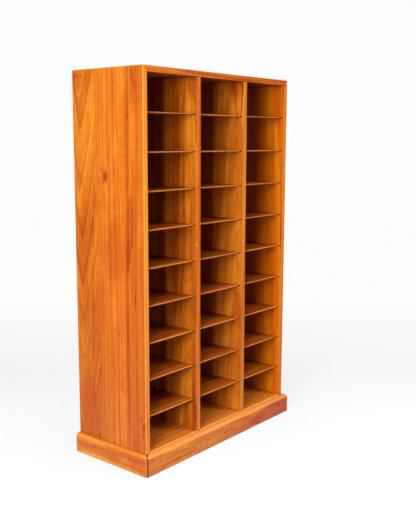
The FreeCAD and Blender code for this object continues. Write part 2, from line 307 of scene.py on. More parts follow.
# Both ends run out to a point over 4 mm, a sixth of the length and up to 30 mm of half width
length = add(stroke, "Math SUBTRACT", [begin[1], finish[1]])[0]
length = add(stroke, "Math ABSOLUTE", [length])[0]
fade = add(stroke, "Math MULTIPLY_ADD", [length, 0.16, 4.0])[0]
blunt = add(stroke, "Math MINIMUM", [begin[2], 30.0])[0]
fade = add(stroke, "Math ADD", [blunt, fade])[0]
left = add(stroke, "Math SUBTRACT", [1.0, step])[0]
for by in (step, length):
    left = add(stroke, "Math MULTIPLY", [left, by])[0]
gone = add(stroke, "MapRange", {0: left, 2: fade, 3: 1.5, 4: 0.0})[0]
off = add(stroke, "Math ADD", [off, gone])[0]
body = add(stroke, "MapRange SMOOTHSTEP", [off, 1.1, given["Inner"]])[0]
tone = add(stroke, "VectorMath MULTIPLY_ADD", [given["Change"], body, given["Tone"]])[0]
add(stroke, "NodeGroupOutput", {"Tone": tone})
print("stroke nodes:", len(stroke.nodes))

# %% [markdown]
# ## Arches
# Where a ring leaves the face of a board it draws a pointed arch. An arch is given by its tip,
# by how steep its left and right arms are and how far up they reach, and by its change of tone.

# %% An arch, as a node group
MARK = {"Float": ("Across", "Along", "Ragged"), "Vector": ("Tip", "Arms", "Change", "Tone")}
arch, given = node_group("grain_arch", MARK, {"Vector": ("Tone",)})
tip = add(arch, "SeparateXYZ", [given["Tip"]])
arms = add(arch, "SeparateXYZ", [given["Arms"]])
aside = add(arch, "Math SUBTRACT", [given["Across"], tip[0]])[0]
right = add(arch, "Math GREATER_THAN", [aside, 0.0])[0]
steep = add(arch, "MapRange", {0: right, 3: arms[0], 4: arms[1]})[0]
aside = add(arch, "Math ABSOLUTE", [aside])[0]
# The arms get steeper away from the tip
steep = add(arch, "Math MULTIPLY_ADD", [aside, 0.016, steep])[0]
rise = add(arch, "Math SUBTRACT", [given["Along"], tip[1]])[0]
inside = rise
steps = (("DIVIDE", steep), ("SUBTRACT", aside), ("DIVIDE", tip[2]), ("ADD", given["Ragged"]))
for operation, by in steps:
    inside = add(arch, "Math " + operation, [inside, by])[0]
off = add(arch, "Math ABSOLUTE", [inside])[0]
line = add(arch, "MapRange SMOOTHSTEP", [off, 1.1, 0.2])[0]
filled = add(arch, "MapRange", {0: inside, 1: -0.5, 2: 1.0, 4: 0.45})[0]
body = add(arch, "Math MAXIMUM", [line, filled])[0]
fade = add(arch, "Math DIVIDE", [rise, arms[2]])[0]
fade = add(arch, "MapRange SMOOTHSTEP", [fade, 1.0, 0.5])[0]
body = add(arch, "Math MULTIPLY", [body, fade])[0]
tone = add(arch, "VectorMath MULTIPLY_ADD", [given["Change"], body, given["Tone"]])[0]
add(arch, "NodeGroupOutput", {"Tone": tone})
print("arch nodes:", len(arch.nodes))

# %% [markdown]
# ## Knots
# A knot is an oval that is dark inside, and pushes the rings around it aside. Its swell is added
# to the radius of the rings, so they bend round it as they grew round the branch.

# %% A knot, as a node group
MARK = {"Float": ("Strength", "Swell"), "Vector": ("Place", "Centre", "Half", "Tone")}
knot, given = node_group("grain_knot", MARK, {"Vector": ("Tone",), "Float": ("Swell",)})
away = add(knot, "VectorMath SUBTRACT", [given["Place"], given["Centre"]])[0]
away = add(knot, "VectorMath DIVIDE", [away, given["Half"]])[0]
away = add(knot, "VectorMath LENGTH", [away])["Value"]
# Rings swell by up to 26 mm, out to three times the knot's own size
near = add(knot, "MapRange SMOOTHSTEP", {0: away, 1: 3.0, 2: 0.0, 4: 26.0})[0]
near = add(knot, "Math MULTIPLY_ADD", [near, given["Strength"], given["Swell"]])[0]
core = add(knot, "MapRange SMOOTHSTEP", [away, 1.4, 0.3])[0]
core = add(knot, "Math MULTIPLY", [core, given["Strength"]])[0]
# The heart of a knot is darker and a little redder
tone = add(knot, "VectorMath MULTIPLY_ADD", [(-0.7, 0.05, 0.0), core, given["Tone"]])[0]
add(knot, "NodeGroupOutput", {"Tone": tone, "Swell": near})
print("knot nodes:", len(knot.nodes))

# %% [markdown]
# ## Places and staves on a board
# Every board gets millimetres of its own: across it, through it and along its grain. It is glued
# up from staves, and each stave has its pith and its tone. Like boards share a material, so each
# takes a seed from where it stands.

# %% Places and staves
# Millimetres in a metre
MM = 1000.0
GLUE_LINE_HALF = 1.5
STAVE_SEED_STEP = 7.3


def board_places(tree, corner, axes):
    """Texture coordinates, metres from the corner, and millimetres across, through and along."""
    found = add(tree, "TexCoord")
    inside = add(tree, "VectorMath SUBTRACT", [found["Object"], tuple(corner)])[0]
    axis = add(tree, "VectorMath SCALE", {0: inside, "Scale": MM})[0]
    axis = add(tree, "SeparateXYZ", [axis])
    return found, inside, *(axis[letter] for letter in axes)


def mixed_staves(tree, across, inside, staves, cell, seed):
    """Pith, tone and seed of the stave at each place."""
    _, pith, tone = staves[0]
    tone = (*tone, 0.0)
    number = seed
    for start, next_pith, next_tone in staves[1:]:
        past = add(tree, "MapRange", [across, start - GLUE_LINE_HALF, start + GLUE_LINE_HALF])[0]
        pith = add(tree, "Mix VECTOR", {0: past, 4: pith, 5: next_pith})[1]
        tone = add(tree, "Mix VECTOR", {0: past, 4: tone, 5: (*next_tone, 0.0)})[1]
        past = add(tree, "Math GREATER_THAN", [across, start])[0]
        number = add(tree, "Math MULTIPLY_ADD", [past, STAVE_SEED_STEP, number])[0]
    if cell:
        # Each cell of the grid has its own seed, and shifts the pith and the tone a little
        snapped = add(tree, "VectorMath DIVIDE", [inside, cell])[0]
        snapped = add(tree, "VectorMath FLOOR", [snapped])[0]
        pick = add(tree, "TexWhiteNoise", {"Vector": snapped})
        number = add(tree, "Math MULTIPLY_ADD", [pick["Value"], 90.0, number])[0]
        shift = add(tree, "VectorMath SUBTRACT", [pick["Color"], (0.5, 0.5, 0.5)])[0]
        pith = add(tree, "VectorMath MULTIPLY_ADD", [shift, (400.0, 80.0, 0.05), pith])[0]
        tone = add(tree, "VectorMath MULTIPLY_ADD", [shift, (0.16, 0.5, 0.0), tone])[0]
    return pith, tone, number


print("a glue line blends over", 2 * GLUE_LINE_HALF, "mm")

# %% [markdown]
# ## Drawing on a board
# All arches come first, then the strokes, one over another. A stroke may have two more values:
# how far its full strength reaches, and the glue line where it is cut off. Cycles works out all
# that feeds a bump three times, so only strokes with a depth feed it.

# %% Arches and strokes in turn
def whole(begin, end, change, inner=0.3, stop=None):
    """A stroke with its optional values. Without a depth its change cuts nothing."""
    return begin, end, (*change, 0.0)[:3], inner, stop


def drawn(tree, spots, tone, arches, strokes):
    """Tone after all arches and strokes, and the depth of those that are cut."""
    for tip, arms, change in arches:
        line = {**spots, "Tip": tip, "Arms": arms, "Change": (*change, 0.0), "Tone": tone}
        tone = add(tree, "Group", line, node_tree=arch)[0]
    sunk = (0.0, 0.0, 0.0)
    for marks in strokes:
        begin, end, change, inner, stop = whole(*marks)
        line = {**spots, "From": begin, "To": end, "Change": change, "Inner": inner}
        if change[2]:
            sunk = add(tree, "Group", {**line, "Tone": sunk}, node_tree=stroke)[0]
        if stop:
            kept = add(tree, "Math LESS_THAN", [spots["Across"], stop])[0]
            line["Change"] = add(tree, "VectorMath SCALE", {0: change, "Scale": kept})[0]
        tone = add(tree, "Group", {**line, "Tone": tone}, node_tree=stroke)[0]
    return tone, sunk


print("groups:", arch.name, stroke.name)

# %% [markdown]
# ## Colour of old varnish
# Old varnish shows two families of colour: golden where the wood is sound and pale, and russet
# where it is dense or has reddened. Each family is a ramp from dark late wood to pale early wood.
# The figure moves every place up and down its ramp, and the redness mixes the two ramps.

# %% Colour of old varnish
GOLDEN = "8A3E03 9E4E05 AE5F09 BE7113 CD8527"
RUSSET = "8A2402 9C3203 AC460A BC5C18 CC762C"
FIGURE_WEIGHTS = (("Growth", 0.75), ("Streaks", 0.75), ("Fibres", 0.4), ("Curl", 0.42))


def ramp_stops(codes):
    """Evenly spaced stops of a colour ramp."""
    codes = codes.split()
    return [(step / (len(codes) - 1), srgb(code)) for step, code in enumerate(codes)]


def wood_colour(tree, grain, strength, tone, ramps):
    """Colour from the figure, as strongly as it shows, and from the tone."""
    pattern = add(tree, "Math MULTIPLY", [grain["Rings"], -0.1])[0]
    for source, weight in FIGURE_WEIGHTS:
        centred = add(tree, "Math SUBTRACT", [grain[source], 0.5])[0]
        pattern = add(tree, "Math MULTIPLY_ADD", [centred, weight, pattern])[0]
    level = add(tree, "Math MULTIPLY_ADD", [pattern, strength, tone[0]])[0]
    redness = add(tree, "Math SUBTRACT", [0.5, grain["Growth"]])[0]
    redness = add(tree, "Math MULTIPLY", [redness, strength])[0]
    redness = add(tree, "Math MULTIPLY_ADD", [redness, 0.8, tone[1]], use_clamp=True)[0]
    golden, russet = (add(tree, "ValToRGB", [level], ramp_stops(codes))[0] for codes in ramps)
    return add(tree, "Mix RGBA", {0: redness, 6: golden, 7: russet})[2]


print("golden", GOLDEN, "and russet", RUSSET)

# %% [markdown]
# ## Wear and painted light
# Rounded edges are paler where hands and cloths have rubbed them, and paler still from a painted
# highlight. Surfaces that face up can be painted paler, as light from above. Arrises that face
# right or down take a colour of their own: a painted highlight on most boards and a painted
# shadow on the shelves. A surface is rounded where its normal follows none of the three axes.

# %% Rubbed arrises, painted highlights and painted top light
def rubbed_edges(tree, colour, found, normal, grain, rub, dust, worn, glow):
    """Colour with arrises paled by wear and a painted highlight, and upper surfaces painted paler as
    light from above.
    """
    facing = add(tree, "VectorMath ABSOLUTE", [found["Normal"]])[0]
    facing = add(tree, "SeparateXYZ", [facing])
    square = facing[0]
    for part in facing[1:]:
        square = add(tree, "Math MAXIMUM", [square, part])[0]
    # Rounded arrises get a pale colour that is partly wear and partly a painted highlight
    rounded = add(tree, "MapRange", {0: square, 1: 0.985, 2: 0.8, 4: rub})[0]
    worn_here = add(tree, "MapRange", [grain["Streaks"], 0.25, 0.6, 0.5])[0]
    # Surfaces that face up are painted paler here, as light from above
    if dust:
        upper = add(tree, "MapRange", {0: normal[2], 1: 0.3, 2: 0.9, 4: dust})[0]
        rounded = add(tree, "Math MAXIMUM", [rounded, upper])[0]
    rubbed = add(tree, "Math MULTIPLY", [rounded, worn_here])[0]
    # Arrises that face right or down take the glow colour, a painted highlight from the front right and
    # the floor; on the shelves it is dark and paints the shadow under the nose
    turned = add(tree, "Math SUBTRACT", [normal[0], normal[2]])[0]
    turned = add(tree, "MapRange", [turned, -0.3, 0.3])[0]
    pale = add(tree, "Mix RGBA", {0: turned, 6: srgb(worn), 7: srgb(glow)})[2]
    return add(tree, "Mix RGBA", {0: rubbed, 6: colour, 7: pale})[2]


print("dust lies where the normal rises above 0.3")

# %% [markdown]
# ## Dirt and painted shade
# Three kinds of place are darkened: where two boards meet, with dirt and painted shade; the open
# ends of the shelf grooves, with painted shade; and the mitre that has opened, with dirt and the
# painted shade of its gap.

# %% Dirt and painted shade in crevices
SHADE_AND_GRIME = "3A1604"


def soiled_and_shaded(tree, colour, normal, front, through, along, crevices, grooved, mitre):
    """Colour darkened by dirt and painted shade in the crevices and an open mitre, and by painted shade
    in the grooves.
    """
    shares = []
    for height in crevices:
        # No board meets the outer face of the right side, so this dirt and painted shade keep to faces
        # that look left
        looks_left = add(tree, "MapRange", {0: normal[0], 1: 0.5, 2: 0.2, 4: 0.7})[0]
        near = add(tree, "Math SUBTRACT", [along, height])[0]
        near = add(tree, "Math ABSOLUTE", [near])[0]
        shares.append(add(tree, "MapRange", {0: near, 1: 3.2, 2: 0.6, 4: looks_left})[0])
    if grooved:
        # The grooves lie deeper than both faces of the board, and are darkened there as painted shade
        deep = add(tree, "Math SUBTRACT", [through, grooved / 2])[0]
        deep = add(tree, "Math ABSOLUTE", [deep])[0]
        deep = add(tree, "MapRange", [deep, grooved / 2 - 0.6, grooved / 2 - 1.6])[0]
        open_end = add(tree, "MapRange", {0: front, 3: 0.9, 4: 0.0})[0]
        shares.append(add(tree, "Math MULTIPLY", [deep, open_end])[0])
    if mitre:
        # An opened mitre is darkened with dirt and the painted shade of its gap
        near = add(tree, "Math SUBTRACT", [along, through])[0]
        shares.append(add(tree, "MapRange", {0: near, 1: 6.0, 2: 2.5, 4: 0.9})[0])
    for share in shares:
        colour = add(tree, "Mix RGBA", {0: share, 6: colour, 7: srgb(SHADE_AND_GRIME)})[2]
    return colour


# This one colour paints shade as well as dirt
print("dirt has the colour", SHADE_AND_GRIME)

# %% [markdown]
# ## Varnished boards
# Now the parts come together. The boards are a warm fruitwood, planed, glued edge to edge and
# finished with a satin varnish that has aged to orange. That gives the eye long soft stripes
# without open pores, under a sheen that blurs what it mirrors. Every board calls the same
# function with its own staves and marks.

# %% Timber material
BARE_CHIP = "C98F62"
EDGE_FILTER = (1.0, 1.0, 0.35, 1.0)
VARNISH_IOR = 1.5


def timber(name, corner, axes, staves, strokes=(), knots=(), arches=(), plain=(), ramps=(GOLDEN, RUSSET),
           edge=None, rub=0.45, dust=0.0, worn="DE9450", glow="F4A23C", sheen=(0.36, 0.52), cell=None,
           seed=0.0, contrast=1.0, crevices=(), mitre=False, chips=(), grooved=0.0):
    """Wood of one board or one family of boards.

    corner is where the board's millimetres start, and axes names the axes across, through and
    along the grain. A stave is its start across the board, its pith (across, depth, lean) and
    its tone (lightness, redness). A stroke is a start and an end, each (across, along, half
    width), a change (lightness, redness, depth if it is cut), and if wanted how sharp it is and
    the glue line where it stops. A knot is its place (across, along), half width, half length
    and strength. An arch is its tip (across, along, width), its arms (left and right slope,
    reach) and its change. plain strokes calm the figure. edge is the tone of the front edge at
    the foot and at the top. rub is how pale the arrises are, from wear and from a
    painted highlight, in the colour glow where they face down or to the right and worn
    elsewhere. glow paints light there, and on the shelves it paints the shadow under the nose.
    dust is how much paler the surfaces that face up are painted, as light from above.
    cell is the spacing of like boards in metres. crevices are places along the grain darkened with
    dirt and painted shade, mitre darkens a mitred end with dirt and the painted shade of its gap,
    and grooved is the thickness of a board with grooves, which are darkened as painted shade. A chip
    of bare wood is its place and half size, both (across, through, along).
    """
    made, tree = blank_material(name)
    found, inside, across, through, along = board_places(tree, corner, axes)
    place = add(tree, "CombineXYZ", [across, through, along])[0]
    pith, tone, number = mixed_staves(tree, across, inside, staves, cell, seed)
    swell = 0.0
    for x, z, width, length, strength in knots:
        # A knot runs right through its board, so its half depth is endless
        oval = {"Place": place, "Centre": (x, 0.0, z), "Half": (width, 1e6, length), "Tone": tone,
                "Strength": strength, "Swell": swell}
        tone, swell = add(tree, "Group", oval, node_tree=knot)
    grain = add(tree, "Group", {"Place": place, "Pith": pith, "Seed": number, "Swell": swell},
                node_tree=figure)
    ragged = add(tree, "MapRange", [grain["Streaks"], 0.2, 0.8, -0.3, 0.3])[0]
    spots = {"Across": across, "Along": along, "Ragged": ragged}
    tone, sunk = drawn(tree, spots, tone, arches, strokes)
    normal = add(tree, "SeparateXYZ", [found["Normal"]])
    front = add(tree, "MapRange", [normal[1], -0.6, -0.95])[0]
    if edge:
        # The front edge changes its tone between 0.2 and 1.1 m above the floor
        high = add(tree, "MapRange", [along, 200.0, 1100.0])[0]
        foot_tone, top_tone = ((*ends, 0.0) for ends in edge)
        edge_tone = add(tree, "Mix VECTOR", {0: high, 4: foot_tone, 5: top_tone})[1]
        tone = add(tree, "Mix VECTOR", {0: front, 4: tone, 5: edge_tone})[1]
    tone = add(tree, "SeparateXYZ", [tone])
    strength = (contrast, 0.0, 0.0)
    for marks in plain:
        begin, end, change, inner, _ = whole(*marks)
        line = {**spots, "From": begin, "To": end, "Change": change, "Inner": inner, "Tone": strength}
        strength = add(tree, "Group", line, node_tree=stroke)[0]
    strength = add(tree, "SeparateXYZ", [strength])[0]
    colour = wood_colour(tree, grain, strength, tone, ramps)
    if edge:
        # The varnish is thicker along the front edges, which takes most of the blue
        colour = add(tree, "Mix RGBA", {0: front, 6: colour, 7: EDGE_FILTER}, blend_type="MULTIPLY")[2]
    colour = rubbed_edges(tree, colour, found, normal, grain, rub, dust, worn, glow)
    colour = soiled_and_shaded(tree, colour, normal, front, through, along, crevices, grooved, mitre)
    for centre, half in chips:
        away = add(tree, "VectorMath SUBTRACT", [place, centre])[0]
        away = add(tree, "VectorMath DIVIDE", [away, half])[0]
        away = add(tree, "VectorMath LENGTH", [away])["Value"]
        near = add(tree, "MapRange", [away, 1.2, 0.5])[0]
        colour = add(tree, "Mix RGBA", {0: near, 6: colour, 7: srgb(BARE_CHIP)})[2]
    gloss = add(tree, "MapRange", [grain["Fibres"], 0.2, 0.8, sheen[0], sheen[1]])[0]
    # Height in millimetres: fibres stand up to 0.05 mm, late wood 0.03 mm, and cracks are sunk
    relief = add(tree, "Math MULTIPLY", [grain["Fibres"], 0.05])[0]
    relief = add(tree, "Math MULTIPLY_ADD", [grain["Rings"], 0.03, relief])[0]
    sunk = add(tree, "VectorMath DOT_PRODUCT", [sunk, (0.0, 0.0, 1.0)])["Value"]
    relief = add(tree, "Math SUBTRACT", [relief, sunk])[0]
    bump = add(tree, "Bump", {"Distance": 1 / MM, "Height": relief})[0]
    skin = add(tree, "BsdfPrincipled",
               {"Base Color": colour, "Roughness": gloss, "Normal": bump, "IOR": VARNISH_IOR})[0]
    add(tree, "OutputMaterial", {"Surface": skin})
    print(name, "has", len(tree.nodes), "nodes")
    return made


print("front edges let through", EDGE_FILTER[2], "of the blue")

# %% [markdown]
# ## Who wears what
# Materials are given to the CAD nodes by name, so the 27 shelves share one.

# %% Materials by name
def wear(material, *names):
    """Gives a material to the CAD nodes whose names start with these names."""
    for name, node in nodes.items():
        if name.startswith(names):
            node.data.materials.clear()
            node.data.materials.append(material)


def varnished(names, *board, **finish):
    """Dresses the boards whose names start so in varnished fruitwood."""
    wear(timber("varnished_fruitwood_" + names.strip("_"), *board, **finish), names)


print("shelves of one material:", sum(name.startswith("shelf_") for name in nodes))

# %% [markdown]
# ## The left side
# The outer side is the board that the photograph shows best. It is glued up from three staves.
# The rear one was sawn close to the pith, so its rings show as arches whose points hang down.
# The front one carries a dark wedge beside the glue line, and bark low in its front edge.
# Places are millimetres back from the front edge and up from the floor.

# %% Left side
side_low, side_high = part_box("left_side")
side_corner = (side_low.x, side_low.y, 0.0)
SIDE_STAVES = [
    (0, (-300, 120, 0.01), (0.43, 0.2)),
    (102, (-150, 90, -0.008), (0.56, 0.3)),
    (267, (371, 8, -0.26), (0.54, 0.1)),
]
SIDE_STROKES = [
    # Front stave
    ((50, 1960, 60), (50, 1400, 60), (-0.1, 0)),
    ((74, 1700, 14), (40, 1555, 9), (-0.2, 0.2)),
    ((94, 1700, 11), (93, 1060, 11), (-0.14, 0.3)),
    ((91, 1512, 5), (91, 1455, 5), (-0.8, 0.5, 0.3)),
    ((60, 1600, 14), (56, 1260, 18), (0.1, -0.3)),
    ((28, 1320, 26), (34, 1150, 30), (-0.05, 0.25)),
    ((72, 1220, 38), (97, 790, 12), (-0.22, 0.04), 0.7, 103),
    ((84, 1040, 22), (98, 790, 9), (-0.22, 0.04), 0.6, 103),
    ((22, 1140, 24), (28, 900, 24), (0.05, -0.5)),
    ((94, 900, 14), (94, 30, 13), (-0.16, 0.15)),
    ((68, 640, 4), (66, 60, 4), (0.1, 0.1)),
    ((52, 790, 12), (56, 680, 13), (-0.24, 0.4)),
    ((103, 1740, 2.5), (103, 20, 2.5), (-0.25, 0.3)),
    # Middle stave
    ((115, 1720, 14), (112, 1530, 12), (0.15, -0.3)),
    ((177, 1680, 4), (186, 1420, 4), (-0.16, 0.1)),
    ((186, 1440, 4), (198, 1290, 4), (-0.2, 0.15)),
    ((212, 1720, 24), (212, 1440, 16), (0.1, 0)),
    ((158, 1460, 10), (165, 1280, 22), (0.12, -0.35)),
    ((132, 1430, 4), (132, 1100, 5), (-0.14, 0.2)),
    ((172, 1270, 18), (175, 1100, 28), (0.1, 0.1)),
    ((226, 1195, 4), (228, 1070, 5), (-0.14, 0.05)),
    ((234, 1310, 24), (228, 1190, 20), (-0.14, 0.3)),
    ((206, 1334, 2.5), (207, 1292, 2.5), (-0.5, 0.4), 0.6),
    ((214, 1205, 14), (206, 1110, 20), (0.16, -0.15)),
    ((210, 1170, 4), (206, 1040, 4), (-0.14, 0.2)),
    ((176, 790, 18), (181, 560, 34), (0.12, 0.1)),
    ((178, 540, 3), (184, 60, 4), (-0.14, 0.2)),
    ((155, 470, 68), (155, -200, 68), (0.12, 0.05)),
    ((250, 900, 20), (247, 520, 26), (-0.05, 0.15)),
    # Rear stave
    ((268, 1740, 2.5), (268, 20, 2.5), (-0.2, 0.3)),
    ((286, 1700, 12), (298, 1370, 20), (0.12, -0.4)),
    ((352, 1720, 85), (352, 1160, 85), (0.2, 0)),
    ((336, 1500, 12), (358, 1350, 24), (0.08, -0.2)),
    ((284, 1250, 8), (295, 1060, 16), (-0.14, 0.3)),
    ((384, 1260, 30), (384, 980, 22), (0.2, -0.2)),
    ((294, 1100, 6), (304, 890, 7), (-0.2, 0.25)),
    ((303, 915, 7), (310, 590, 7), (-0.2, 0.2)),
    ((310, 640, 6), (317, 150, 8), (-0.2, 0.3)),
    ((286, 960, 24), (286, -100, 24), (-0.14, 0.1)),
    ((345, 860, 76), (345, 420, 76), (-0.16, 0.05)),
    ((350, 500, 76), (350, -300, 76), (-0.14, 0.3)),
    ((396, 430, 7), (396, 60, 9), (0.12, -0.1)),
    # The waist is the deepest orange, the foot is redder, and a glue line ends in a crack
    ((60, 1260, 70), (60, 640, 70), (-0.02, 0.12)),
    ((175, 1120, 90), (175, 740, 90), (-0.16, 0.05)),
    ((206, 1500, 420), (206, -900, 420), (0.0, 0.15)),
    ((232, 1330, 36), (228, 1150, 32), (-0.04, 0.1)),
    ((206, 620, 420), (206, -900, 420), (0.0, 0.15)),
    ((281, 145, 2.5), (281, 50, 2.5), (-1.0, 0.5, 1.5), 0.6),
]
SIDE_ARCHES = [
    ((373, 1435, 7), (2.0, 6.5, 330), (-0.4, 0.25)),
    ((381, 1180, 7), (2.3, 6.2, 420), (-0.28, 0.2)),
    ((371, 945, 7), (3.4, 5.5, 300), (-0.12, 0)),
    ((373, 772, 7), (2.7, 3.4, 420), (-0.5, 0.1)),
    ((355, 468, 6), (3.5, 4.5, 160), (0.14, -0.1)),
    ((340, 345, 5), (5.0, 7.0, 260), (-0.1, 0.15)),
]
SIDE_PLAIN = [
    ((340, 560, 110), (340, -500, 110), (-0.65, 0)),
    ((160, 1150, 60), (160, 300, 60), (-0.3, 0)),
]
SIDE_KNOTS = [
    (219, 1236, 13, 24, 0.95),
    (150, 582, 5, 5, 0.35),
    # Bark has grown into the front edge near the foot
    (23, 240, 4, 9, 0.8),
    (13, 204, 8, 22, 0.8),
    (16, 160, 4, 12, 0.8),
    (8, 111, 4, 4, 0.5),
    # Small marks at the top rear corner
    (397, 1650, 5, 9, 0.7),
    (378, 1644, 7, 7, 0.6),
    (357, 1650, 5, 8, 0.6),
]
plinth_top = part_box("plinth_left")[1].z * MM
# Hanging arches, dark flames and a satin glow. The front arris is paled by wear and a painted
# highlight, and dirt and painted shade line the foot along the plinth top
varnished("left_side", side_corner, "YXZ", SIDE_STAVES, SIDE_STROKES, SIDE_KNOTS, SIDE_ARCHES, SIDE_PLAIN,
          edge=((0.86, 1.0), (0.99, 0.5)), rub=0.5, contrast=0.9, crevices=(plinth_top,))

# %% [markdown]
# ## Dividers and right side
# Only their left faces show, each broken up by nine shelves. The grain runs on behind the
# shelves, which tells the eye that the uprights are whole boards.

# %% Dividers and right side
WALL_GOLDEN = "6A2C05 883C08 A6560F BC721A D28C2C"
WALL_RUSSET = "6A1A04 8A2606 A63A0C BC5016 D26A26"
# The right side is a board of a deeper orange
DEEP_GOLDEN = "6A2C02 8A3E02 A65603 BC6E06 D28812"
DEEP_RUSSET = "6A1A02 8A2602 A63A03 BC5006 D26A12"
floor_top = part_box("floor_board")[1].z * MM
top_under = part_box("top_board")[0].z * MM


def upright(node, staves, strokes, edge, seed, contrast, knots=(), chips=(),
            ramps=(WALL_GOLDEN, WALL_RUSSET)):
    """Dresses an upright whose left face shows. Its arrises are paled by wear and painted
    highlights, its crevices at the floor and under the top are darkened with dirt and painted
    shade, and its grooves with painted shade.
    """
    low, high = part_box(node)
    varnished(node, (low.x, low.y, 0.0), "YXZ", staves, strokes, knots, ramps=ramps, edge=edge, rub=0.34,
              seed=seed, contrast=contrast, crevices=(floor_top, top_under), chips=chips,
              grooved=(high.x - low.x) * MM)


# Golden towards the front, with thin dark and pale lines
upright("divider_1",
        [(0, (60, 180, 0.03), (0.46, 0.05)), (27, (50, 200, 0.02), (0.38, 0.0)),
         (140, (260, 120, 0), (0.56, 0.3))],
        # This stroke darkens the top pigeonhole near the front: painted shade under the top board
        [((30, 2000, 60), (30, 1500, 60), (-0.22, -0.1)),
         ((44, 1900, 18), (54, 900, 23), (0.22, -0.2), 0.85),
         ((54, 1060, 24), (70, -200, 32), (0.14, -0.1), 0.85),
         ((120, 1800, 22), (126, 500, 22), (-0.12, 0.15), 0.6),
         ((70, 1660, 3), (74, 1180, 3), (0.1, 0)),
         ((86, 1660, 4), (88, 960, 4), (0.15, 0), 0.6),
         ((108, 1660, 3), (108, 1100, 3), (-0.15, 0.2)),
         ((148, 1660, 5), (150, 900, 5), (0.15, -0.1), 0.6),
         ((96, 900, 4), (98, 80, 4), (-0.15, 0.1)),
         ((108, 780, 36), (112, -100, 44), (0.16, 0)),
         ((14, 1010, 20), (14, -500, 22), (-0.1, 0.1))],
        ((0.88, 0.62), (0.56, 0.6)), 11.0, 1.0, [(100, 1365, 7, 12, 0.5)], [((1, 1, 938), (2, 3, 6))])
# Quieter, redder towards the back, with a V of dark flames at the top
upright("divider_2",
        [(0, (28, 160, 0.04), (0.56, 0.1)), (100, (60, 160, 0.04), (0.64, 0.3)),
         (182, (220, 140, 0), (0.5, 0.65))],
        [((44, 2000, 74), (44, 600, 74), (0.02, -0.35)),
         ((170, 1700, 14), (176, 950, 14), (0.12, -0.2)),
         ((176, 1000, 12), (180, 560, 7), (0.12, -0.2)),
         ((140, 1130, 66), (130, -100, 70), (0.04, 0.25)),
         # This stroke darkens the top pigeonhole near the front: painted shade under the top board
         ((44, 2000, 74), (44, 1480, 74), (-0.34, 0.1)),
         ((90, 700, 110), (90, -100, 110), (0.12, -0.1)),
         ((62, 1720, 3), (32, 1420, 4), (-0.3, 0.1), 0.6),
         ((2, 1700, 3), (24, 1420, 4), (-0.3, 0.1), 0.6),
         ((27, 1700, 14), (28, 1500, 4), (0.16, -0.1), 0.6),
         ((36, 1440, 4), (60, 1200, 5), (-0.15, 0.1), 0.6),
         ((92, 1660, 3), (80, 1300, 4), (-0.15, 0.1), 0.6),
         ((112, 1200, 3), (104, 700, 4), (-0.15, 0.1), 0.6),
         ((55, 720, 4), (60, 540, 4), (0.2, -0.3)),
         ((69, 340, 4), (72, 110, 8), (0.2, -0.3), 0.6)],
        ((0.72, 0.3), (0.72, 0.15)), 23.0, 0.7)
# Deep orange with faint straight stripes
upright("right_side",
        [(0, (90, 170, 0.02), (0.71, 0.42)), (100, (150, 240, 0.01), (0.66, 0.58))],
        [((4, 1080, 5), (4, 820, 6), (-0.2, 0.6)),
         # This stroke darkens and reddens the top pigeonholes near the front: painted shade under the top
         # board
         ((30, 1900, 60), (30, 1360, 60), (-0.12, 0.1)),
         ((31, 480, 2.5), (33, 60, 2.5), (-0.2, 0.5), 0.6),
         ((85, 1232, 4), (86, 1172, 4), (-0.35, 0.4)),
         ((60, 1640, 3), (56, 1100, 3), (-0.16, 0.1), 0.6),
         ((108, 1640, 4), (110, 900, 4), (-0.15, 0.1), 0.6),
         ((48, 900, 3), (50, 100, 3), (-0.15, 0.1), 0.6),
         ((30, 620, 60), (30, -200, 60), (0.1, 0.1))],
        ((0.8, 0.4), (0.8, 0.45)), 37.0, 0.75, ramps=(DEEP_GOLDEN, DEEP_RUSSET))

# %% [markdown]
# ## Top, floor and shelves
# These lie flat, so their grain runs across the front. The shelves are thinner and darker, and
# every one gets a seed of its own from the pigeonhole it stands in. Their noses are rubbed pale
# and carry a painted highlight, with painted shadow under them, and each shelf is painted darker
# further in, as shade.

# %% Flat boards
SHELF_GOLDEN = "642F03 7F4005 994F08 AB5F0E C07626"
SHELF_RUSSET = "642303 7F3305 99410A AB4F14 C06628"
# The shelves share a grid of cells, one pigeonhole wide and high and deeper than the case
CELL_DEPTH = 9.0
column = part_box("divider_1")[0].x - side_low.x
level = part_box("shelf_left_1")[0].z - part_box("shelf_left_2")[0].z
flat_corner = ((side_low.x + side_high.x) / 2, side_low.y, 0.0)
# Planed to 6 mm from plainer wood: dark, with long stripes, and noses rubbed to pale gold. That
# pale gold is partly a painted highlight, the dark glow colour paints the shadow under each nose,
# and the broad stroke paints shade deeper in the pigeonhole.
varnished("shelf_", flat_corner, "YZX", [(0, (120, 90, 0.02), (0.62, 0.6))],
          [((250, -500, 210), (250, 1500, 210), (-0.36, 0))], ramps=(SHELF_GOLDEN, SHELF_RUSSET),
          cell=(column, CELL_DEPTH, level), rub=0.9, worn="E2A04C", glow="4A2208", contrast=1.3)
# Soft flames on its long front edge, golden on the left and dark on the right
# Its arrises are paled by wear and a painted highlight, the lower one in the glow colour
varnished("top_board", flat_corner, "YZX", [(0, (180, 140, 0.03), (0.42, 0.55))],
          [((0, 1300, 600), (0, 500, 600), (-0.15, 0.1)), ((0, -300, 600), (0, 300, 600), (0.22, -0.1))],
          seed=5.0)
# Pale where papers have rubbed the varnish thin, so little of the figure is left. The pale line
# along its rounded front arris is a painted highlight.
varnished("floor_board", flat_corner, "YZX", [(0, (150, 130, 0.02), (0.83, 0.65))], seed=8.0, rub=0.9,
          worn="F2B878", contrast=0.6)

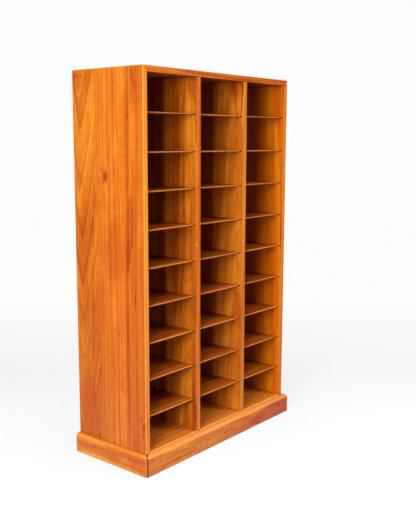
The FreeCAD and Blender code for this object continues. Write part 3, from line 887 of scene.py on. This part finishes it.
# %% [markdown]
# ## Plinth
# The plinth is three thick boards on edge, so the grain runs along each of them. Strong figure,
# dark marks and a rounded top edge that is kicked pale tell the eye what they have stood. That
# rounded edge also carries a painted highlight, and the top is painted paler as light from above.
# Places are millimetres up from the floor and along the board.

# %% Plinth
plinth_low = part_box("plinth_front")[0]
plinth_corner = (plinth_low.x, plinth_low.y, 0.0)
FRONT_STROKES = [
    ((28, 640, 62), (28, 1560, 62), (-0.3, 0.12), 0.8),
    ((50, 780, 200), (50, 1600, 200), (-0.08, 0.05)),
    ((70, 900, 8), (72, 1040, 8), (0.12, -0.2)),
    ((20, 800, 5), (22, 940, 6), (0.14, -0.2)),
    ((45, -60, 60), (45, 380, 50), (0.1, -0.2)),
    ((24, 50, 2.5), (26, 340, 2.5), (-0.7, -0.1, 0.2)),
    ((62, 180, 4), (60, 420, 5), (-0.2, 0.2)),
    ((58, 360, 10), (30, 430, 12), (-0.25, 0.4)),
    ((40, 480, 6), (48, 600, 8), (-0.2, 0.4)),
    ((28, 560, 5), (27, 700, 5), (-0.2, 0.2)),
]
# Its rounded top is paled by wear and a painted highlight, its top is painted paler as light from above,
# and its left mitre is darkened with dirt and painted shade
varnished("plinth_front", plinth_corner, "ZYX", [(0, (40, 120, 0.02), (0.74, 0.7))], FRONT_STROKES,
          [(26, 655, 5, 10, 0.6), (14, 775, 7, 9, 0.6), (58, 960, 6, 12, 0.5)], rub=0.5, dust=0.5,
          worn="EAA858", seed=3.0, contrast=1.3, mitre=True, chips=[((85, 8, 11), (3, 7, 4))])
LEFT_STROKES = [
    ((62, -40, 4), (60, 180, 5), (-0.25, 0.2)),
    ((57, 200, 3), (56, 470, 6), (-0.25, 0.2)),
    ((10, -60, 12), (10, 500, 12), (0.2, -0.3)),
    ((44, 40, 40), (42, 240, 40), (0.12, -0.45)),
    ((40, 300, 20), (40, 480, 24), (-0.2, 0.3)),
]
# Only the left mitre has opened, and it is darkened with dirt and with painted shade in its gap
for node, seed in (("plinth_left", 6.0), ("plinth_right", 14.0)):
    opened = node == "plinth_left"
    marks = LEFT_STROKES if opened else ()
    varnished(node, plinth_corner, "ZXY", [(0, (40, 130, 0.03), (0.76, 0.45))], marks, rub=0.35, dust=0.5,
              worn="E4943C", seed=seed, contrast=1.3, mitre=opened)

# %% [markdown]
# ## The unseen back
# Nobody varnished the back. Its boards, rail and bearers are softwood as the saw left it. To the
# eye they are matt and pale, greyed by dust, with wide soft stripes.

# %% Back boards, rail and bearers
BARE_PALE = "9C6A42 BA875A CD9C6E DCB086 E8C49A"
BARE_GREY = "866041 A27C5E B79072 C8A486 D6B698"
back_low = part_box("back_board_1")[0]
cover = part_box("back_board_2")[0].x - back_low.x
DULL = {"ramps": (BARE_PALE, BARE_GREY), "sheen": (0.7, 0.85), "rub": 0.0}
wear(timber("sawn_softwood_back_boards", (back_low.x, side_low.y, 0.0), "XYZ",
            [(0, (60, 90, 0.02), (0.5, 0.5))], cell=(cover, CELL_DEPTH, CELL_DEPTH), **DULL),
     "back_board")
wear(timber("sawn_softwood_rail", plinth_corner, "ZYX", [(0, (40, 60, 0.02), (0.5, 0.5))], **DULL),
     "back_rail", "floor_bearer")

# %% [markdown]
# ## Tongues, nails and stopping
# The tongues in the mitred top corners are plywood. The nails are steel wire, punched below the
# surface and stopped with putty that has dried to a dull grey green.

# %% Small hidden pieces
def surface(name, codes, per_mm, roughness, metallic=0.0, depth=0.02):
    """A finish whose colour, roughness and height in mm follow a noise of so many grains per mm."""
    made, tree = blank_material(name)
    found = add(tree, "TexCoord")["Object"]
    grains = add(tree, "VectorMath SCALE", {0: found, "Scale": MM})[0]
    grains = add(tree, "VectorMath MULTIPLY", [grains, per_mm])[0]
    noise = add(tree, "TexNoise", {"Vector": grains, "Scale": 1.0, "Detail": 4.0})[0]
    colour = add(tree, "ValToRGB", [noise], ramp_stops(codes))[0]
    rough = add(tree, "MapRange", [noise, 0.2, 0.8, roughness[0], roughness[1]])[0]
    height = add(tree, "Math MULTIPLY", [noise, depth])[0]
    bump = add(tree, "Bump", {"Distance": 1 / MM, "Height": height})[0]
    skin = add(tree, "BsdfPrincipled",
               {"Base Color": colour, "Roughness": rough, "Metallic": metallic, "Normal": bump})[0]
    add(tree, "OutputMaterial", {"Surface": skin})
    print(name, "has", len(tree.nodes), "nodes")
    return made


# Birch plywood, cut across: plies 1.3 mm thick, in turn pale and dark
PLIES = "8A6238 C49A62 A87A46 DAB27A"
wear(surface("cut_birch_plywood", PLIES, (0.75, 0.01, 0.75), (0.6, 0.75)), "top_tongue")
# Steel, drawn through a die: dull grey, with marks along it. Real ones are finer than 0.3 mm
STEEL = "54524E 7C7A76 98968F"
wear(surface("drawn_steel_wire", STEEL, (3.0, 0.1, 3.0), (0.35, 0.6), metallic=1.0), "plinth_nails")
# Putty, pressed in with a knife: matt, with grit of 0.5 mm, which is coarser than the real one
PUTTY = "5E6248 7C8264 989C80"
wear(surface("knifed_linseed_putty", PUTTY, (2.0, 2.0, 2.0), (0.75, 0.9), depth=0.1), "nail_stopping")

# %% [markdown]
# ## Screws in the back
# Countersunk brass screws hold the back boards. The CAD model's screws are one mesh, so every
# island of vertices that hang together is one screw, and tells its place and size.

# %% Screws
MERGE_WITHIN = 1e-6
solids = bmesh.new()
solids.from_mesh(nodes["back_screws"].data)
bmesh.ops.remove_doubles(solids, verts=solids.verts, dist=MERGE_WITHIN)
solids.verts.ensure_lookup_table()
waiting = set(solids.verts)
places = []
while waiting:
    island, fringe = set(), [waiting.pop()]
    while fringe:
        vertex = fringe.pop()
        island.add(vertex)
        fresh = {link.other_vert(vertex) for link in vertex.link_edges} - island
        fringe.extend(fresh & waiting)
        waiting -= fresh
    low = Vector(min(v.co[i] for v in island) for i in range(3))
    high = Vector(max(v.co[i] for v in island) for i in range(3))
    places.append(((low.x + high.x) / 2, high.y, (low.z + high.z) / 2))
solids.free()
places.sort()
screw_length = high.y - low.y
head_radius = (high.x - low.x) / 2
print("screws:", len(places), "head", head_radius, "length", screw_length)

# %% [markdown]
# ## One screw, repeated
# The screws are all alike, so Geometry Nodes makes one and sets it at every place: a cone for the
# head, a cylinder for the shank, and a bar cut out for the slot. Each slot stops at another
# angle, as a screwdriver leaves it.

# %% One screw, cut and repeated by nodes
SCREW_SIZES = {"Head Radius": head_radius, "Shank Radius": 0.002, "Length": screw_length,
               "Slot Width": 0.001, "Slot Depth": 0.0011}
SOCKETS = {"Geometry": ["Places"], "Float": SCREW_SIZES, "Int": ["Seed"], "Material": ["Finish"]}
screw_tree, given = node_group("slotted_screws", SOCKETS, {"Geometry": ["Screws"]}, "GeometryNodeTree")
rise = add(screw_tree, "Math SUBTRACT", [given["Head Radius"], given["Shank Radius"]])[0]
head = add(screw_tree, "GeometryNodeMeshCone",
           {"Vertices": 32, "Radius Top": given["Head Radius"], "Radius Bottom": given["Shank Radius"],
            "Depth": rise})["Mesh"]
sunk = add(screw_tree, "Math MULTIPLY", [rise, -1.0])[0]
down = add(screw_tree, "CombineXYZ", {2: sunk})[0]
head = add(screw_tree, "GeometryNodeTransform", {"Geometry": head, "Translation": down})[0]
wide = add(screw_tree, "Math MULTIPLY", [given["Head Radius"], 2.5])[0]
deep = add(screw_tree, "Math MULTIPLY", [given["Slot Depth"], 2.0])[0]
bar_size = add(screw_tree, "CombineXYZ", [wide, given["Slot Width"], deep])[0]
bar = add(screw_tree, "GeometryNodeMeshCube", {"Size": bar_size})["Mesh"]
head = add(screw_tree, "GeometryNodeMeshBoolean DIFFERENCE", {"Mesh 1": head, "Mesh 2": bar})[0]
# The cylinder is made about its own middle, from under the head to the tip
reach = add(screw_tree, "Math SUBTRACT", [given["Length"], rise])[0]
shank = add(screw_tree, "GeometryNodeMeshCylinder",
            {"Vertices": 24, "Radius": given["Shank Radius"], "Depth": reach})["Mesh"]
below = add(screw_tree, "Math MULTIPLY_ADD", [reach, -0.5, sunk])[0]
below = add(screw_tree, "CombineXYZ", {2: below})[0]
shank = add(screw_tree, "GeometryNodeTransform", {"Geometry": shank, "Translation": below})[0]
joined = screw_tree.nodes.new("GeometryNodeJoinGeometry")
for part in (head, shank):
    screw_tree.links.new(part, joined.inputs[0])
spin = add(screw_tree, "FunctionNodeRandomValue", {2: 0.0, 3: math.pi, 8: given["Seed"]})[1]
facing = add(screw_tree, "CombineXYZ", [-math.pi / 2, spin])[0]
facing = add(screw_tree, "FunctionNodeEulerToRotation", [facing])[0]
set_out = add(screw_tree, "GeometryNodeInstanceOnPoints",
              {"Points": given["Places"], "Instance": joined.outputs[0], "Rotation": facing})[0]
real = add(screw_tree, "GeometryNodeRealizeInstances", [set_out])[0]
finished = add(screw_tree, "GeometryNodeSetMaterial", {"Geometry": real, "Material": given["Finish"]})[0]
add(screw_tree, "NodeGroupOutput", {"Screws": finished})

print("nodes of a screw:", len(screw_tree.nodes))

# %% [markdown]
# ## The screws in place
# A mesh of bare points says where the screws stand. The modifier runs the nodes on it, and the
# finished mesh takes the place of the CAD model's screws.

# %% Screws in place
# Brass, turned on a lathe and tarnished by air: warm yellow that mirrors softly, with darker spots
BRASS = "7A5A26 A98440 C6A050"
brass = surface("turned_tarnished_brass", BRASS, (0.5, 0.5, 0.5), (0.28, 0.5), metallic=1.0)
seeds = bpy.data.meshes.new("screw_places")
seeds.from_pydata(places, [], [])
maker = new_object("screw_places", seeds)
modifier = maker.modifiers.new("slotted_screws", "NODES")
modifier.node_group = screw_tree
for name, value in {**SCREW_SIZES, "Seed": 4, "Finish": brass}.items():
    modifier[screw_tree.interface.items_tree[name].identifier] = value
made_screws = bpy.data.meshes.new_from_object(maker.evaluated_get(bpy.context.evaluated_depsgraph_get()))
made_screws.name = "dressed_back_screws"
# The join leaves an empty slot before the brass
made_screws.polygons.foreach_set("material_index", [0] * len(made_screws.polygons))
made_screws.materials.clear()
made_screws.materials.append(brass)
bpy.data.objects.remove(maker)
screws = new_object("dressed_back_screws", made_screws)
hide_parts("back_screws")
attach(screws, "root")
print("screw faces:", len(made_screws.polygons))
